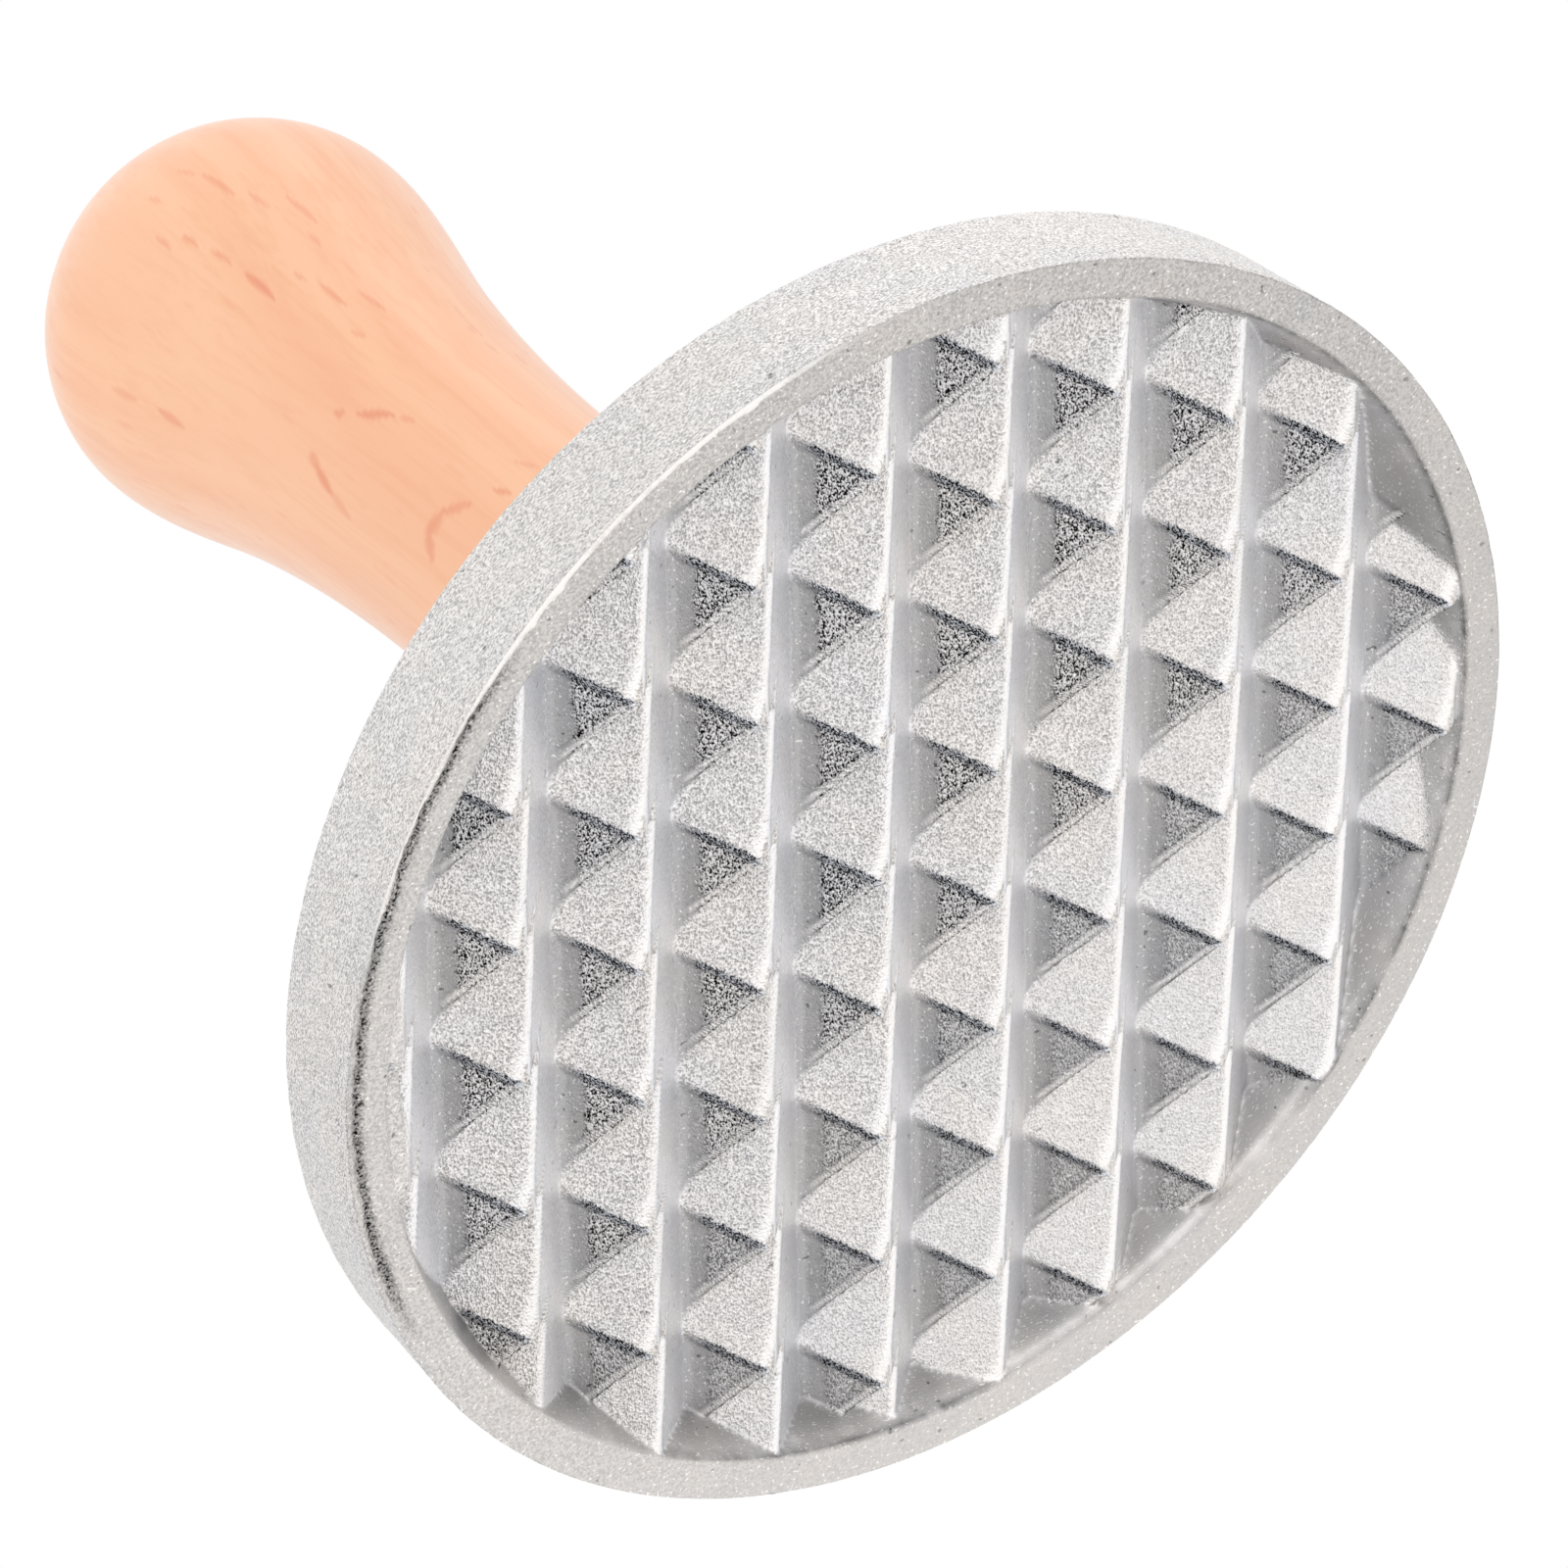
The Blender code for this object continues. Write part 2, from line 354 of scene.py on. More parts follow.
def face_features(x, y, flat, kinds):
    """Where the face's surfaces and the lines between them are, each from 0 to 1."""
    across = kinds["across"]
    share = kinds["share"]
    fuzz = layered_noise(flat, (0.16, 0.45, 10), (0.1, 0.22, 11))
    foot = kinds["foot"] + 0.5 * fuzz
    to_right = ramp(x + 0.6 * y, -6, 4)

    rim = np.clip(kinds["rim"] + 0.8 * kinds["plain"], 0, 1)
    wall = kinds["wall"] * (1 - rim)
    inside = 1 - np.clip(rim + wall, 0, 1)
    smooth = kinds["smooth"]
    rough = (1 - smooth) * inside
    steep = (1 - share) * rough
    upper = rough * ramp(across, 3.7, 2.9)
    behind = share * rough * kinds["over"]
    # Where the painted shade goes: a dark band in the crease under each slant facet's lower edge.
    line = ramp(foot, -FOOT_WIDTH - 0.08, -FOOT_WIDTH + 0.14) * ramp(foot, 0.03, -0.13) * rough
    ridge = bell(kinds["ridge"], 0.08, 0.17) * inside
    return {
        "rim": rim,
        "wall": wall,
        "smooth": smooth * inside,
        "slant": share * rough,
        "steep": steep,
        "coarse": steep * ramp(across - fuzz, 2.9, 2.6),
        "line": line * ramp(across, 0.1, 0.5) * ramp(across, 3.55, 2.75),
        "vertical": steep * bell(across - 2.7, fuzz, 0.2),
        # Painted highlight: a bright strip along the raised lip at each steep facet's crest edge.
        "crest": bell(kinds["crest"], -0.4, 0.1) * upper,
        # Painted shade: a dark line at the step from the crest down to the next slant facet.
        "drop": bell(kinds["crest"], -0.08, 0.15) * upper * ramp(across, 3.2, 2.7) * (1 - share),
        # Painted shade: a dark line on the far side of the crest strip.
        "under": bell(kinds["crest"], -0.66, 0.1) * upper * (1 - share),
        "behind": behind,
        # Painted highlight: a bright line along each ridge.
        "ridge": ridge * (1 - 0.4 * smooth) * (1 - 0.8 * behind),
        # Painted shade: a dark line on the smooth flank beside each ridge highlight.
        "beside": bell(kinds["ridge"], 0.2, 0.1) * smooth * inside,
        # Painted shade: the fillet in each valley between a smooth flank and a steep facet is darker.
        "valley": bell(smooth, 0.5, 0.34) * inside * (1 - share),
        # Painted shade: the crease where the recess wall meets the facets is darker.
        "fillet": bell(kinds["wall"], 0.5, 0.3) * (1 - rim),
        # Painted highlight: a bright line along the recess wall just below its top edge.
        "edge_highlight": bell(kinds["edge"], -0.3, 0.12) * to_right,
        # Painted shade: a dark line along the top of the recess wall, left out where that edge is lit.
        "edge": bell(kinds["edge"], -0.05, 0.14) * to_right * (1 - kinds["lit"]),
    }


def face_look(x, y, flat, depth, kinds):
    """The metal of the face: how bright, grainy, coarse and warm it is at each point. The brightness
    holds painted highlights and painted shade as well as the metal's own tone.
    """
    f = face_features(x, y, flat, kinds)
    ragged = kinds["ragged"]
    calm = ramp(y + 0.5 * x, -2, 20)
    deep = ramp(depth, 0, 2.4)
    streaks = value_noise(flat * [1, 0.3, 1], 0.8, 14)
    # How strong the painted highlight along the recess wall is: most where that edge is lit, and ragged.
    edge_highlight_strength = 0.55 * kinds["lit"] + 0.4 * np.clip(ragged + 0.2, 0, 1)

    # Each kind of surface has its own brightness. This is partly the metal's own finish and partly
    # painted light for the way the surface faces: slant facets and smooth flanks are painted brighter,
    # steep facets darker. The smooth flanks also get darker towards +Y.
    tone = 1.29 * f["slant"] + 1.34 * f["smooth"] * (1 - 0.1 * ramp(y, 12, 24))
    tone = tone + (0.81 - 0.01 * f["coarse"]) * f["steep"]
    # The rim is painted lighter towards +Y and -X: a painted gradient of light across its flat face.
    tone = tone + (1.0 + 0.0018 * y - 0.0012 * x) * f["rim"]
    # The wall is painted darker where the recess is deeper, which is painted shade. Its streaks along Y
    # are stains.
    tone = tone + (0.92 - 0.2 * deep + 0.1 * streaks) * f["wall"]
    # Painted shade: a dark line in the crease under each slant facet's lower edge, and a dark line below
    # the crest strip.
    tone = changed(tone, (-0.72, f["line"]), (-0.16, f["vertical"]), (-0.25, f["under"]))
    # Painted highlight: the crest strip is painted bright.
    tone = tone * (1 - f["crest"]) + 1.6 * f["crest"]
    tone = changed(
        tone,
        # Painted shade at the step under the crest.
        (-0.6, f["drop"]),
        (-0.14, f["behind"]),
        # Painted highlight along the ridges.
        (0.38, f["ridge"]),
        # Painted shade beside the ridge highlights.
        (-0.3, f["beside"]),
        # Painted shade along the recess wall's top edge.
        (-0.42, f["edge"] * (1 + ragged)),
        # Painted shade: the channel behind the flash is painted dark.
        (-0.72, kinds["channel"]),
        # Painted highlight: the flash's ragged edge is painted bright.
        (1.0, kinds["flash"] * kinds["bright"]),
        # Painted shade in the valleys.
        (-0.24, f["valley"]),
        # Painted shade in the crease at the foot of the recess wall.
        (-0.3, f["fillet"]),
        # Painted highlight along the recess wall.
        (1.0, f["edge_highlight"] * edge_highlight_strength),
    )

    grit = 1.2 * f["slant"] + 1.0 * f["coarse"] + 0.5 * f["line"] + 0.15 * f["wall"]
    grit = grit + 0.5 * f["rim"] * (1 - 0.7 * kinds["flash"])
    grit = grit + (0.3 - 0.15 * calm) * f["smooth"] + 0.15 * f["steep"] * (1 - f["coarse"])
    grit = changed(
        grit,
        (-0.48, ramp(x + y, -10, 40)),
        (-0.8, f["crest"]),
        (-0.6, f["ridge"]),
        (-0.4, f["coarse"] * calm),
    )

    coarse = changed(f["coarse"], (-0.9, f["crest"]), (-0.6, calm))
    coarse = coarse + f["line"] * (1 - 0.3 * calm) + 0.45 * kinds["channel"]

    warm = 0.3 * f["slant"] + 0.5 * f["behind"] + 0.1 * f["steep"] - 0.1 * f["smooth"]
    # The painted shade line is tinted cool, and the painted crest highlight warm.
    warm = warm + 0.55 * f["rim"] + 0.3 * f["wall"] + 0.4 * f["crest"] - 1.0 * f["line"]
    return {
        "tone": tone,
        "grit": np.clip(grit, 0, 1.6),
        "coarse": np.clip(coarse, 0, 1),
        "warm": np.clip(warm, -1, 1),
    }


def disc_grid(half, radius):
    """A square grid bent to a disc: points, quads facing down, and the rim's indices in order."""
    side = 2 * half + 1
    u, v = np.meshgrid(np.linspace(-1, 1, side), np.linspace(-1, 1, side), indexing="ij")
    wide = np.abs(u) >= np.abs(v)
    with np.errstate(divide="ignore", invalid="ignore"):
        r = np.where(wide, u, v)
        angle = np.where(wide, math.pi / 4 * v / u, math.pi / 2 - math.pi / 4 * u / v)
    angle = np.where(r == 0, 0.0, angle)
    x = (r * np.cos(angle) * radius).ravel()
    y = (r * np.sin(angle) * radius).ravel()
    i = np.arange(side**2).reshape(side, side)
    corners = (i[:-1, :-1], i[:-1, 1:], i[1:, 1:], i[1:, :-1])
    quads = np.stack([corner.ravel() for corner in corners], 1)
    right = i[-1, half:]
    top = i[::-1, -1][1:]
    left = i[0, ::-1][1:]
    bottom = i[:, 0][1:]
    last = i[-1, :half][1:]
    return x, y, quads, np.concatenate([right, top, left, bottom, last])


def turns(count):
    """Angles in radians of count points evenly round a circle."""
    return 2 * math.pi * np.arange(count) / count


def rings(profile, count):
    """Points of a solid of revolution, one ring of count points for each (radius, height)."""
    angle = turns(count)
    r = np.array([p[0] for p in profile])[:, None]
    z = np.array([p[1] for p in profile])[:, None]
    return np.stack([r * np.cos(angle), r * np.sin(angle), z + 0 * angle], 2).reshape(-1, 3)


def ring_quads(lower, upper):
    """Quads between two rings of indices, facing out where the second lies above the first."""
    return np.stack([lower, np.roll(lower, -1), np.roll(upper, -1), upper], 1).tolist()


def ring_stack(first, size, count):
    """Quads between the rings that follow one another in size points, from the index first on."""
    faces = []
    for start in range(first, first + size - count, count):
        lower = start + np.arange(count)
        faces += ring_quads(lower, lower + count)
    return faces


def ring_fan(outer, inner):
    """Faces from a ring to one that has fewer points by a whole factor."""
    ratio = len(outer) // len(inner)
    faces = []
    for j in range(len(inner)):
        start = j * ratio
        strip = [outer[(start + i) % len(outer)] for i in range(ratio + 1)]
        faces.append(strip + [inner[(j + 1) % len(inner)], inner[j]])
    return faces


def subdivided(points, step):
    """The profile with points no more than step apart."""
    out = [points[0]]
    for (r0, z0), (r1, z1) in zip(points, points[1:]):
        count = max(1, math.ceil(math.hypot(r1 - r0, z1 - z0) / step))
        for i in range(1, count + 1):
            out.append((r0 + (r1 - r0) * i / count, z0 + (z1 - z0) * i / count))
    return out


def arc(centre, radius, start, end, steps):
    angles = [math.radians(start + (end - start) * i / steps) for i in range(steps + 1)]
    return [(centre[0] + radius * math.cos(a), centre[1] + radius * math.sin(a)) for a in angles]


def new_object(name, data):
    obj = bpy.data.objects.new(name, data)
    bpy.context.scene.collection.objects.link(obj)
    return obj


def new_piece(name, points, faces, attributes=None):
    """An object of the given points in millimetres, with one number a point for each attribute."""
    mesh = bpy.data.meshes.new(name)
    mesh.from_pydata((np.asarray(points) * MM).tolist(), [], faces)
    for key, values in (attributes or {}).items():
        layer = mesh.attributes.new(key, "FLOAT", "POINT")
        layer.data.foreach_set("value", np.asarray(values, np.float32))
    mesh.update()
    mesh.shade_smooth()
    return new_object(name, mesh)


def build_face():
    """Points and quads of the face, the indices round its edge, and its metal."""
    x, y, quads, edge = disc_grid(FACE_CELLS, FACE_RADIUS)
    flat = np.stack([x, y, 0 * x], 1)
    bent_x = x + layered_noise(flat, (0.035, 1.9, 1), (0.02, 0.6, 2))
    bent_y = y + layered_noise(flat, (0.035, 1.9, 3), (0.02, 0.6, 4))
    depth, kinds = relief(bent_x, bent_y)
    kinds.update(rim_edge(x, y, flat))
    uneven = layered_noise(flat, (0.014, 0.8, 5), (0.01, 0.36, 6))
    depth = depth + uneven * (1 - 0.7 * kinds["smooth"]) + RIM_LIFT
    channel = CHANNEL_DEPTH * kinds["channel"] * (1 + 0.5 * kinds["ragged"])
    depth = np.clip(depth - FLASH_HEIGHT * kinds["flash"] + channel, 0.0, None)
    look = face_look(x, y, flat, depth, kinds)
    return np.stack([x, y, depth], 1), quads.tolist(), edge, look


def side_wall(count):
    """Rings of points up the side wall and onto the back, with a ragged edge and a parting line."""
    profile = [(HEAD_RADIUS - 0.02, 0.06), (HEAD_RADIUS, 0.2), (HEAD_RADIUS - 0.03, 0.5)]
    centre = (HEAD_RADIUS - SIDE_TAPER - SIDE_ROUND, HEAD_THICKNESS - SIDE_ROUND)
    profile += arc(centre, SIDE_ROUND, 0, 90, 4)
    profile = subdivided(profile, 0.22)
    profile.append((HEAD_RADIUS - 2.0, HEAD_THICKNESS))
    points = rings(profile, count)
    radius = np.hypot(points[:, 0], points[:, 1])
    height = points[:, 2]
    torn = value_noise(points * [1, 1, 0.3], 1.1, 9)
    swell = layered_noise(points, (0.022, 0.9, 7), (0.015, 0.35, 8)) - 0.04
    swell = swell - 0.13 * bell(height - 0.75, 0.12 * torn, 0.22) * (0.6 + 0.4 * torn)
    swell = swell + 0.05 * bell(height, 0.18, 0.2) * (0.5 + 0.5 * torn)
    radius = np.minimum(radius + swell * ramp(radius, 36.4, 37.0), HEAD_RADIUS)
    angle = np.tile(turns(count), len(profile))
    points[:, 0] = radius * np.cos(angle)
    points[:, 1] = radius * np.sin(angle)
    return points


def back_profile():
    """Radius and height of the back, the boss on it and the bore, from the outside in."""
    back = [(HEAD_RADIUS - 4.0, HEAD_THICKNESS), (BOSS_RADIUS + 2.2, HEAD_THICKNESS)]
    fillet = (BOSS_RADIUS + BOSS_FILLET, HEAD_THICKNESS + BOSS_FILLET)
    wall = [(BOSS_RADIUS, HEAD_THICKNESS + 2.1), (BOSS_RADIUS, BOSS_TOP - BOSS_ROUND)]
    edge = (BOSS_RADIUS - BOSS_ROUND, BOSS_TOP - BOSS_ROUND)
    profile = subdivided(back, 1.6)
    profile += arc(fillet, BOSS_FILLET, 270, 180, 8)[1:]
    profile += subdivided(wall, 0.8)
    profile += arc(edge, BOSS_ROUND, 0, 90, 5)[1:]
    profile += [(BOSS_RADIUS - 2.5, BOSS_TOP), (BORE_RADIUS + 1.5, BOSS_TOP)]
    profile += [(BORE_RADIUS + BORE_CHAMFER, BOSS_TOP), (BORE_RADIUS, BOSS_TOP - BORE_CHAMFER)]
    profile += subdivided([(BORE_RADIUS, BOSS_TOP - 1.0), (BORE_RADIUS, BORE_FLOOR)], 1.2)
    profile += [(1.2, BORE_FLOOR)]
    return profile


def build_head():
    face, faces, edge, look = build_face()
    count = len(edge)
    few = count // BACK_SHARE
    side = side_wall(count)
    back = rings(back_profile(), few)
    side_start = len(face)
    back_start = side_start + len(side)
    end = back_start + len(back)
    faces += ring_quads(edge, side_start + np.arange(count))
    faces += ring_stack(side_start, len(side), count)
    faces += ring_fan(range(back_start - count, back_start), range(back_start, back_start + few))
    faces += ring_stack(back_start, len(back), few)
    faces.append(list(range(end - few, end)))
    points = np.concatenate([face, side, back])
    attributes = {}
    for name, values in look.items():
        attributes[name] = np.concatenate([values, np.full(end - side_start, BACK_LOOK[name])])
    return new_piece("cast_head", points, faces, attributes)


def handle_radius(height):
    """The handle's radius at a height above its foot, on smooth curves through its named radii."""
    marks = [
        (FOOT_BAND, FOOT_RADIUS),
        (WAIST_HEIGHT, WAIST_RADIUS),
        (SHOULDER_HEIGHT, SHOULDER_RADIUS),
        (BULB_HEIGHT, BULB_RADIUS),
    ]
    slopes = [0.0, 0.0, 0.0, 0.0]
    slopes[0] = -2.2 * (FOOT_RADIUS - WAIST_RADIUS) / (WAIST_HEIGHT - FOOT_BAND)
    slopes[2] = 1.4 * (BULB_RADIUS - WAIST_RADIUS) / (BULB_HEIGHT - WAIST_HEIGHT)
    for i in range(len(marks) - 1):
        (low, start), (high, end) = marks[i], marks[i + 1]
        if height <= high:
            span = high - low
            t = (height - low) / span
            return (
                start * (1 + 2 * t) * (1 - t) ** 2
                + end * t * t * (3 - 2 * t)
                + slopes[i] * span * t * (1 - t) ** 2
                - slopes[i + 1] * span * t * t * (1 - t)
            )
    rise = (height - BULB_HEIGHT) / (HANDLE_LENGTH - BULB_HEIGHT)
    return BULB_RADIUS * math.sqrt(max(0.0, 1 - rise * rise))


def mark(turn, height, girth, ends, half, strength):
    """How dark one mark makes each point: a stroke from end to end that tapers."""
    (turn_a, height_a), (turn_b, height_b) = ends
    across = turned_by(turn, turn_a) * girth
    along = height - height_a
    run = (turn_b - turn_a) * girth
    rise = height_b - height_a
    share = np.clip((across * run + along * rise) / (run * run + rise * rise), 0.0, 1.0)
    away = np.hypot(across - share * run, along - share * rise)
    wide = half * (0.35 + 0.65 * np.sin(math.pi * np.clip(share, 0.02, 0.98)))
    return strength * smoothstep(1.35 - away / wide)


def grain_marks(points):
    """Marks as beech shows them: short brown flecks along the grain, and a few broad curls."""
    bend = points + 0.1 * np.stack([value_noise(points, 1.1, seed) for seed in (21, 22, 23)], 1)
    turn = np.degrees(np.arctan2(-bend[:, 1], -bend[:, 0])) % 360
    height = bend[:, 2]
    girth = np.radians(np.maximum(np.hypot(points[:, 0], points[:, 1]), 2.0))
    shade = np.zeros(len(points))
    for start, end, half, strength in MARKS:
        shade = np.maximum(shade, mark(turn, height, girth, (start, end), half, strength))
    chance = np.random.default_rng(24)
    for _ in range(CHANCE_MARKS):
        at = chance.uniform(0, 360)
        level = chance.uniform(13, 81)
        length = chance.uniform(0.5, 2.4)
        lean = chance.uniform(-0.6, 1.4)
        half = chance.uniform(0.09, 0.19)
        strength = chance.uniform(0.1, 0.6)
        # The side that faces the camera has the marks listed above, so these are faint there
        if abs(turned_by(at, SEEN_TURN)) < SEEN_HALF:
            strength *= 0.4
        near = np.flatnonzero(np.abs(height - level) < 3.0)
        ends = ((at, level), (at + lean, level - length))
        spot = mark(turn[near], height[near], girth[near], ends, half, strength)
        shade[near] = np.maximum(shade[near], spot)
    return shade


def build_handle():
    """The turned handle, from the end of its hole out over the foot and up to the top."""
    hole_end = STUD_IN_HANDLE + FIT
    profile = [(BORE_RADIUS, height) for height in (hole_end, 12.0, 1.0)]
    profile += [(BORE_RADIUS + 0.3, 0.02), (6.0, 0.0), (9.0, 0.0)]
    profile += arc((FOOT_RADIUS - FOOT_ROUND, FOOT_ROUND), FOOT_ROUND, 270, 360, 6)
    profile += [(handle_radius(h), h) for h in np.linspace(FOOT_BAND, BULB_HEIGHT, 165)]
    for angle in np.linspace(1.5, 89.0, 60):
        height = BULB_HEIGHT + (HANDLE_LENGTH - BULB_HEIGHT) * math.sin(math.radians(angle))
        profile.append((handle_radius(height), height))
    points = rings([(r, z + HANDLE_FOOT) for r, z in profile], HANDLE_POINTS)
    top = len(points)
    middles = [[0, 0, HANDLE_FOOT + HANDLE_LENGTH], [0, 0, HANDLE_FOOT + hole_end]]
    points = np.concatenate([points, middles])
    uneven = 1 - 0.0012 * (1 + value_noise(points * [1, 1, 0.25], 3.0, 20))
    points[:, :2] *= uneven[:, None]
    faces = ring_stack(0, top, HANDLE_POINTS)
    last = top - HANDLE_POINTS
    for i in range(HANDLE_POINTS):
        after = (i + 1) % HANDLE_POINTS
        faces.append([last + i, last + after, top])
        faces.append([after, i, top + 1])
    return new_piece("turned_handle", points, faces, {"fleck": grain_marks(points)})


def thread(height, angle, pitch):
    """A thread's height at each point, from 0 at its root to 1 at its crest."""
    return 1 - np.abs(2 * np.mod(height / pitch - angle / (2 * math.pi), 1.0) - 1)


def build_stud():
    """A hanger bolt: machine thread below for the head, coarse wood thread above for the handle."""
    height = np.linspace(STUD_LOW, STUD_HIGH, 236)[:, None]
    angle = turns(STUD_POINTS)[None, :]
    machine = np.clip(1.3 * thread(height, angle, MACHINE_PITCH) - 0.15, 0, 1)
    machine = MACHINE_CORE + (STUD_RADIUS - MACHINE_CORE) * machine
    wood = np.clip(1.8 * thread(height, angle, WOOD_PITCH) - 0.8, 0, 1)
    wood = WOOD_CORE + (STUD_RADIUS - WOOD_CORE) * wood
    share = ramp(height, 13.5, 14.5)
    radius = machine * (1 - share) + wood * share
    radius = np.minimum(radius, 2.35 + (height - STUD_LOW) * 1.1)
    radius = np.minimum(radius, 1.2 + (STUD_HIGH - height) * 0.8)
    points = np.stack([radius * np.cos(angle), radius * np.sin(angle), height + 0 * angle], 2)
    points = points.reshape(-1, 3)
    faces = [list(range(STUD_POINTS))[::-1], list(range(len(points) - STUD_POINTS, len(points)))]
    faces += ring_stack(0, len(points), STUD_POINTS)
    return new_piece("hanger_bolt", points, faces)


class Nodes:
    """Short calls for building a material's node tree."""

    def __init__(self, name):
        self.material = bpy.data.materials.new(name)
        self.material.use_nodes = True
        self.tree = self.material.node_tree
        self.shader = self.tree.nodes["Principled BSDF"]

    def add(self, kind, inputs=None, **settings):
        node = self.tree.nodes.new(kind)
        for key, value in settings.items():
            setattr(node, key, value)
        for key, value in (inputs or {}).items():
            self.put(node.inputs[key], value)
        return node

    def put(self, socket, value):
        if isinstance(value, bpy.types.NodeSocket):
            self.tree.links.new(value, socket)
        else:
            socket.default_value = value

    def surface(self, inputs):
        for key, value in inputs.items():
            self.put(self.shader.inputs[key], value)

    def place(self):
        return self.add("ShaderNodeTexCoord").outputs["Object"]

    def attribute(self, name):
        return self.add("ShaderNodeAttribute", attribute_name=name).outputs["Fac"]

    def math(self, operation, a, b, clamp=False):
        inputs = {0: a, 1: b}
        return self.add("ShaderNodeMath", inputs, operation=operation, use_clamp=clamp).outputs[0]

    def plus(self, a, b):
        return self.math("ADD", a, b)

    def times(self, a, b, clamp=False):
        return self.math("MULTIPLY", a, b, clamp)

    def swing(self, value, middle, strength):
        """The value's distance from the middle, times the strength."""
        return self.times(self.math("SUBTRACT", value, middle), strength)

    def vector(self, operation, *inputs):
        node = self.add("ShaderNodeVectorMath", dict(enumerate(inputs)), operation=operation)
        return node.outputs[0]

    def remap(self, value, low, high, to_low=0.0, to_high=1.0):
        """Eases from to_low to to_high as the value goes from low to high."""
        inputs = {"Value": value, "From Min": low, "From Max": high, "To Min": to_low, "To Max": to_high}
        return self.add("ShaderNodeMapRange", inputs, interpolation_type="SMOOTHSTEP").outputs[0]

    def mix(self, factor, a, b, blend="MIX"):
        """A mix of two colours, whose sockets on the node are 6 and 7."""
        inputs = {0: factor, 6: a, 7: b}
        return self.add("ShaderNodeMix", inputs, data_type="RGBA", blend_type=blend).outputs[2]

    def noise(self, vector, scale, detail=2.0, rough=0.5, output="Fac"):
        inputs = {"Vector": vector, "Scale": scale, "Detail": detail, "Roughness": rough}
        return self.add("ShaderNodeTexNoise", inputs).outputs[output]

    def bump(self, height, strength, distance):
        inputs = {"Height": height, "Strength": strength, "Distance": distance}
        return self.add("ShaderNodeBump", inputs).outputs[0]


def aluminium():
    """Cast metal that takes its brightness, grain and warmth from the head's attributes. The brightness
    holds painted highlights and painted shade as well as the metal's own tone.
    """
    n = Nodes("cast aluminium")
    place = n.place()
    tone = n.attribute("tone")
    grit = n.attribute("grit")
    coarse = n.attribute("coarse")
    warm = n.attribute("warm")
    grain = n.vector("MULTIPLY", place, (1, 1, 2.2))
    fine = n.noise(grain, scale=6800.0, detail=0.5)
    lumps = n.noise(grain, scale=4200.0, detail=1.0)
    broad = n.noise(place, scale=160.0, detail=3.0, rough=0.6)
    grains = n.plus(n.times(fine, 0.6), n.times(lumps, 0.4))

    speck = n.remap(grains, 0.36, 0.60)
    glint = n.remap(n.noise(grain, scale=4600.0, detail=0.0), 0.70, 0.76, 0.0, 0.45)
    pits = n.remap(n.noise(place, scale=2100.0, detail=0.0), 0.17, 0.20, 0.4, 0.0)
    shade = n.swing(speck, 0.66, n.times(grit, 0.62))
    shade = n.plus(shade, n.swing(speck, 0.5, n.times(coarse, 0.95)))
    shade = n.plus(shade, n.math("SUBTRACT", glint, pits))
    value = n.plus(tone, shade)
    value = n.plus(value, n.swing(broad, 0.5, 0.14))
    value = n.times(value, 0.66, clamp=True)
    grey = n.add("ShaderNodeCombineColor", {"Red": value, "Green": value, "Blue": value}).outputs[0]

    cool_tint = (0.95, 0.975, 1.04, 1)
    warm_tint = (1.02, 0.97, 0.925, 1)
    hue = n.plus(warm, n.swing(broad, 0.5, 1.2))
    tint = n.mix(n.remap(hue, -1.0, 1.0), cool_tint, warm_tint)

    height = n.times(grains, n.plus(n.times(grit, 0.9), 0.12))
    height = n.plus(height, n.swing(lumps, 0.5, coarse))
    n.surface({
        "Base Color": n.mix(1.0, grey, tint, "MULTIPLY"),
        "Metallic": 1.0,
        "Roughness": n.remap(grains, 0.35, 0.65, 0.42, 0.56),
        "Normal": n.bump(height, strength=0.8, distance=0.00022),
    })
    return n.material


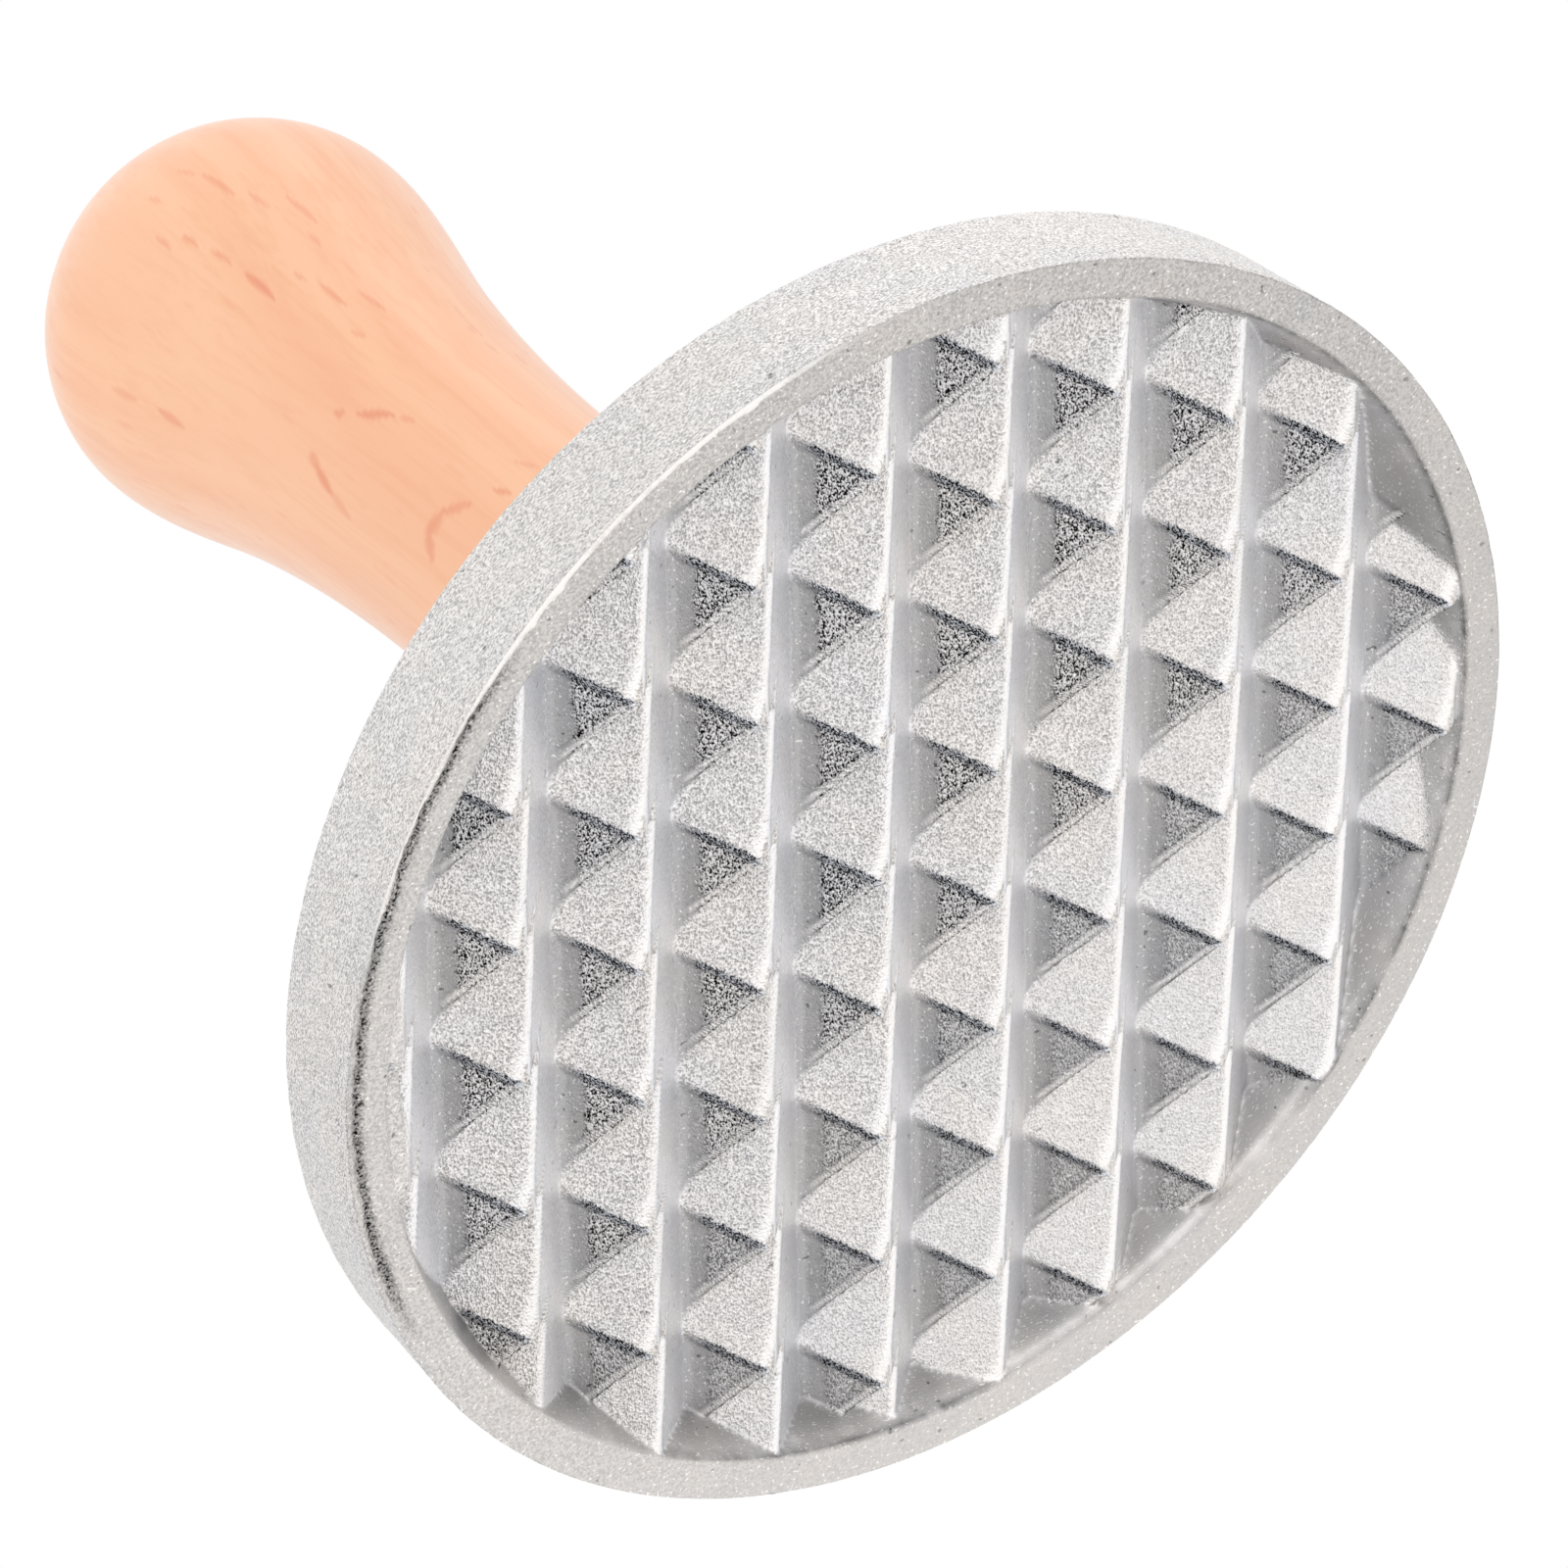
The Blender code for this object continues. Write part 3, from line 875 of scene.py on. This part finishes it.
def beech():
    """Oiled beech: growth rings, streaks along the grain, broad drifts of colour and its marks."""
    light_ring = (0.97, 0.545, 0.335, 1)
    dark_ring = (0.955, 0.505, 0.305, 1)
    streak_brown = (0.90, 0.43, 0.24, 1)
    pale_drift = (0.98, 0.62, 0.41, 1)
    mark_brown = (0.85, 0.33, 0.19, 1)
    # The growth rings lie about a pith well off the handle's axis
    to_pith = (0.031, 0.024, 0.0)

    n = Nodes("beech")
    place = n.place()
    drift = n.noise(n.vector("MULTIPLY", place, (1, 1, 0.35)), scale=90.0, output="Color")
    bent = n.vector("MULTIPLY_ADD", drift, (0.0022, 0.0022, 0.0), place)
    along_grain = n.vector("MULTIPLY", bent, (1, 1, 0.04))
    rings_inputs = {
        "Vector": n.vector("ADD", along_grain, to_pith),
        "Scale": 95.0,
        "Distortion": 3.0,
        "Detail": 2.0,
        "Detail Scale": 1.2,
    }
    ringed = n.add("ShaderNodeTexWave", rings_inputs, wave_type="RINGS", rings_direction="Z")
    streak = n.noise(along_grain, scale=1500.0, detail=3.0, rough=0.65)
    broad = n.noise(n.vector("MULTIPLY", bent, (1, 1, 0.3)), scale=90.0)

    colour = n.mix(ringed.outputs["Fac"], light_ring, dark_ring)
    colour = n.mix(n.remap(streak, 0.45, 0.65, 0.0, 0.34), colour, streak_brown)
    colour = n.mix(n.remap(broad, 0.3, 0.75, 0.0, 0.4), colour, pale_drift)
    colour = n.mix(n.times(n.attribute("fleck"), 0.9), colour, mark_brown)
    n.surface({
        "Base Color": colour,
        "Roughness": n.remap(streak, 0.3, 0.7, 0.42, 0.55),
        "Specular IOR Level": 0.4,
        "Coat Weight": 0.25,
        "Coat Roughness": 0.35,
        "Sheen Weight": 0.6,
        "Sheen Roughness": 0.35,
        "Normal": n.bump(streak, strength=0.25, distance=0.0001),
    })
    return n.material


def zinc():
    """Zinc plate with a faint cloud in its colour and polish."""
    n = Nodes("zinc plated steel")
    cloud = n.noise(n.place(), scale=700.0, detail=3.0, rough=0.6)
    n.surface({
        "Base Color": n.mix(cloud, (0.52, 0.54, 0.58, 1), (0.66, 0.67, 0.69, 1)),
        "Metallic": 1.0,
        "Roughness": n.remap(cloud, 0.3, 0.7, 0.25, 0.4),
    })
    return n.material


def pale_floor():
    """A pale floor, seen through from below, where the photograph's camera stands."""
    n = Nodes("pale floor")
    cloud = n.noise(n.place(), scale=12.0)
    n.surface({
        "Base Color": n.mix(cloud, (0.90, 0.90, 0.89, 1), (0.93, 0.93, 0.92, 1)),
        "Roughness": 0.8,
    })
    clear = n.add("ShaderNodeBsdfTransparent").outputs[0]
    from_below = n.add("ShaderNodeNewGeometry").outputs["Backfacing"]
    swap = n.add("ShaderNodeMixShader", {0: from_below, 1: n.shader.outputs[0], 2: clear})
    n.put(n.tree.nodes["Material Output"].inputs[0], swap.outputs[0])
    return n.material


def card_grey():
    n = Nodes("grey card")
    cloud = n.noise(n.place(), scale=6.0)
    n.surface({
        "Base Color": n.mix(cloud, (0.24, 0.24, 0.25, 1), (0.30, 0.30, 0.30, 1)),
        "Roughness": 0.9,
    })
    return n.material


def view_direction(right, up, toward):
    """A direction given as the photograph shows it, turned into the part's frame."""
    return (CAMERA_RIGHT * right - CAMERA_DOWN * up + CAMERA_BACK * toward).normalized()


def stand(obj, direction, distance):
    """Stands an object off in a direction, with its own +Z pointing away from the part."""
    obj.location = direction * distance + AIM
    obj.rotation_mode = "QUATERNION"
    obj.rotation_quaternion = direction.to_track_quat("Z", "Y")


def area_light(name, direction, size, power):
    lamp = bpy.data.lights.new(name, "AREA")
    lamp.shape = "DISK"
    lamp.size = size
    lamp.energy = power
    stand(new_object(name, lamp), direction, LAMP_DISTANCE)


def grey_card(direction):
    """A card that only reflections see, as a studio sets one up to shape metal."""
    corners = [(CARD_RADIUS * math.cos(a), CARD_RADIUS * math.sin(a), 0) for a in turns(CARD_SIDES)]
    mesh = bpy.data.meshes.new("card")
    mesh.from_pydata(corners, [], [list(range(CARD_SIDES))])
    mesh.materials.append(card_grey())
    card = new_object("card", mesh)
    stand(card, direction, CARD_DISTANCE)
    card.visible_camera = False
    card.visible_diffuse = False
    card.visible_shadow = False
    card.visible_transmission = False


def floor():
    ends = ((-1, -1), (1, -1), (1, 1), (-1, 1))
    corners = [(FLOOR_HALF * x, FLOOR_HALF * y, FLOOR_Z) for x, y in ends]
    mesh = bpy.data.meshes.new("floor")
    mesh.from_pydata(corners, [], [(0, 1, 2, 3)])
    mesh.materials.append(pale_floor())
    ground = new_object("floor", mesh)
    ground.visible_diffuse = False
    ground.visible_glossy = False
    ground.visible_shadow = False


def studio_world():
    """White to the camera and to reflections, and slightly softer as a light."""
    world = bpy.data.worlds.new("studio")
    world.use_nodes = True
    bpy.context.scene.world = world
    tree = world.node_tree
    tree.nodes.clear()
    path = tree.nodes.new("ShaderNodeLightPath")
    seen = path.outputs["Is Camera Ray"]
    for name in ("Is Glossy Ray", "Is Transmission Ray"):
        either = tree.nodes.new("ShaderNodeMath")
        either.operation = "MAXIMUM"
        tree.links.new(seen, either.inputs[0])
        tree.links.new(path.outputs[name], either.inputs[1])
        seen = either.outputs[0]
    swap = tree.nodes.new("ShaderNodeMixShader")
    tree.links.new(seen, swap.inputs[0])
    for socket, strength in ((1, LIGHT_STRENGTH), (2, WHITE_STRENGTH)):
        background = tree.nodes.new("ShaderNodeBackground")
        background.inputs["Color"].default_value = (1, 1, 1, 1)
        background.inputs["Strength"].default_value = strength
        tree.links.new(background.outputs[0], swap.inputs[socket])
    output = tree.nodes.new("ShaderNodeOutputWorld")
    tree.links.new(swap.outputs[0], output.inputs[0])


def photo_camera():
    camera = new_object("camera", bpy.data.cameras.new("camera"))
    camera.data.sensor_width = SENSOR_WIDTH
    camera.data.lens = FOCAL_PIXELS / PHOTO_WIDTH * SENSOR_WIDTH
    camera.data.clip_start = 0.01
    turn = Matrix((CAMERA_RIGHT, -CAMERA_DOWN, CAMERA_BACK)).transposed()
    camera.matrix_world = Matrix.Translation(CAMERA_PLACE) @ turn.to_4x4()
    bpy.context.scene.camera = camera
    bpy.context.scene.view_settings.view_transform = "Standard"


def stage():
    floor()
    studio_world()
    area_light("key", view_direction(0.1, 0.85, -0.2), size=0.5, power=0.8)
    area_light("front", view_direction(0.05, -0.5, 0.865), size=0.35, power=0.4)
    area_light("fill", view_direction(-0.8, 0.3, 0.52), size=0.6, power=0.5)
    grey_card(view_direction(-0.32, -0.95, 0.03))
    photo_camera()


def main():
    head = build_head()
    head.data.materials.append(aluminium())
    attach(head, "head")
    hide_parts("stamp_head")
    handle = build_handle()
    handle.data.materials.append(beech())
    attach(handle, "grip")
    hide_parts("handle")
    stud = build_stud()
    stud.data.materials.append(zinc())
    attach(stud, "stud")
    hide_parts("threaded_stud")
    stage()


main()
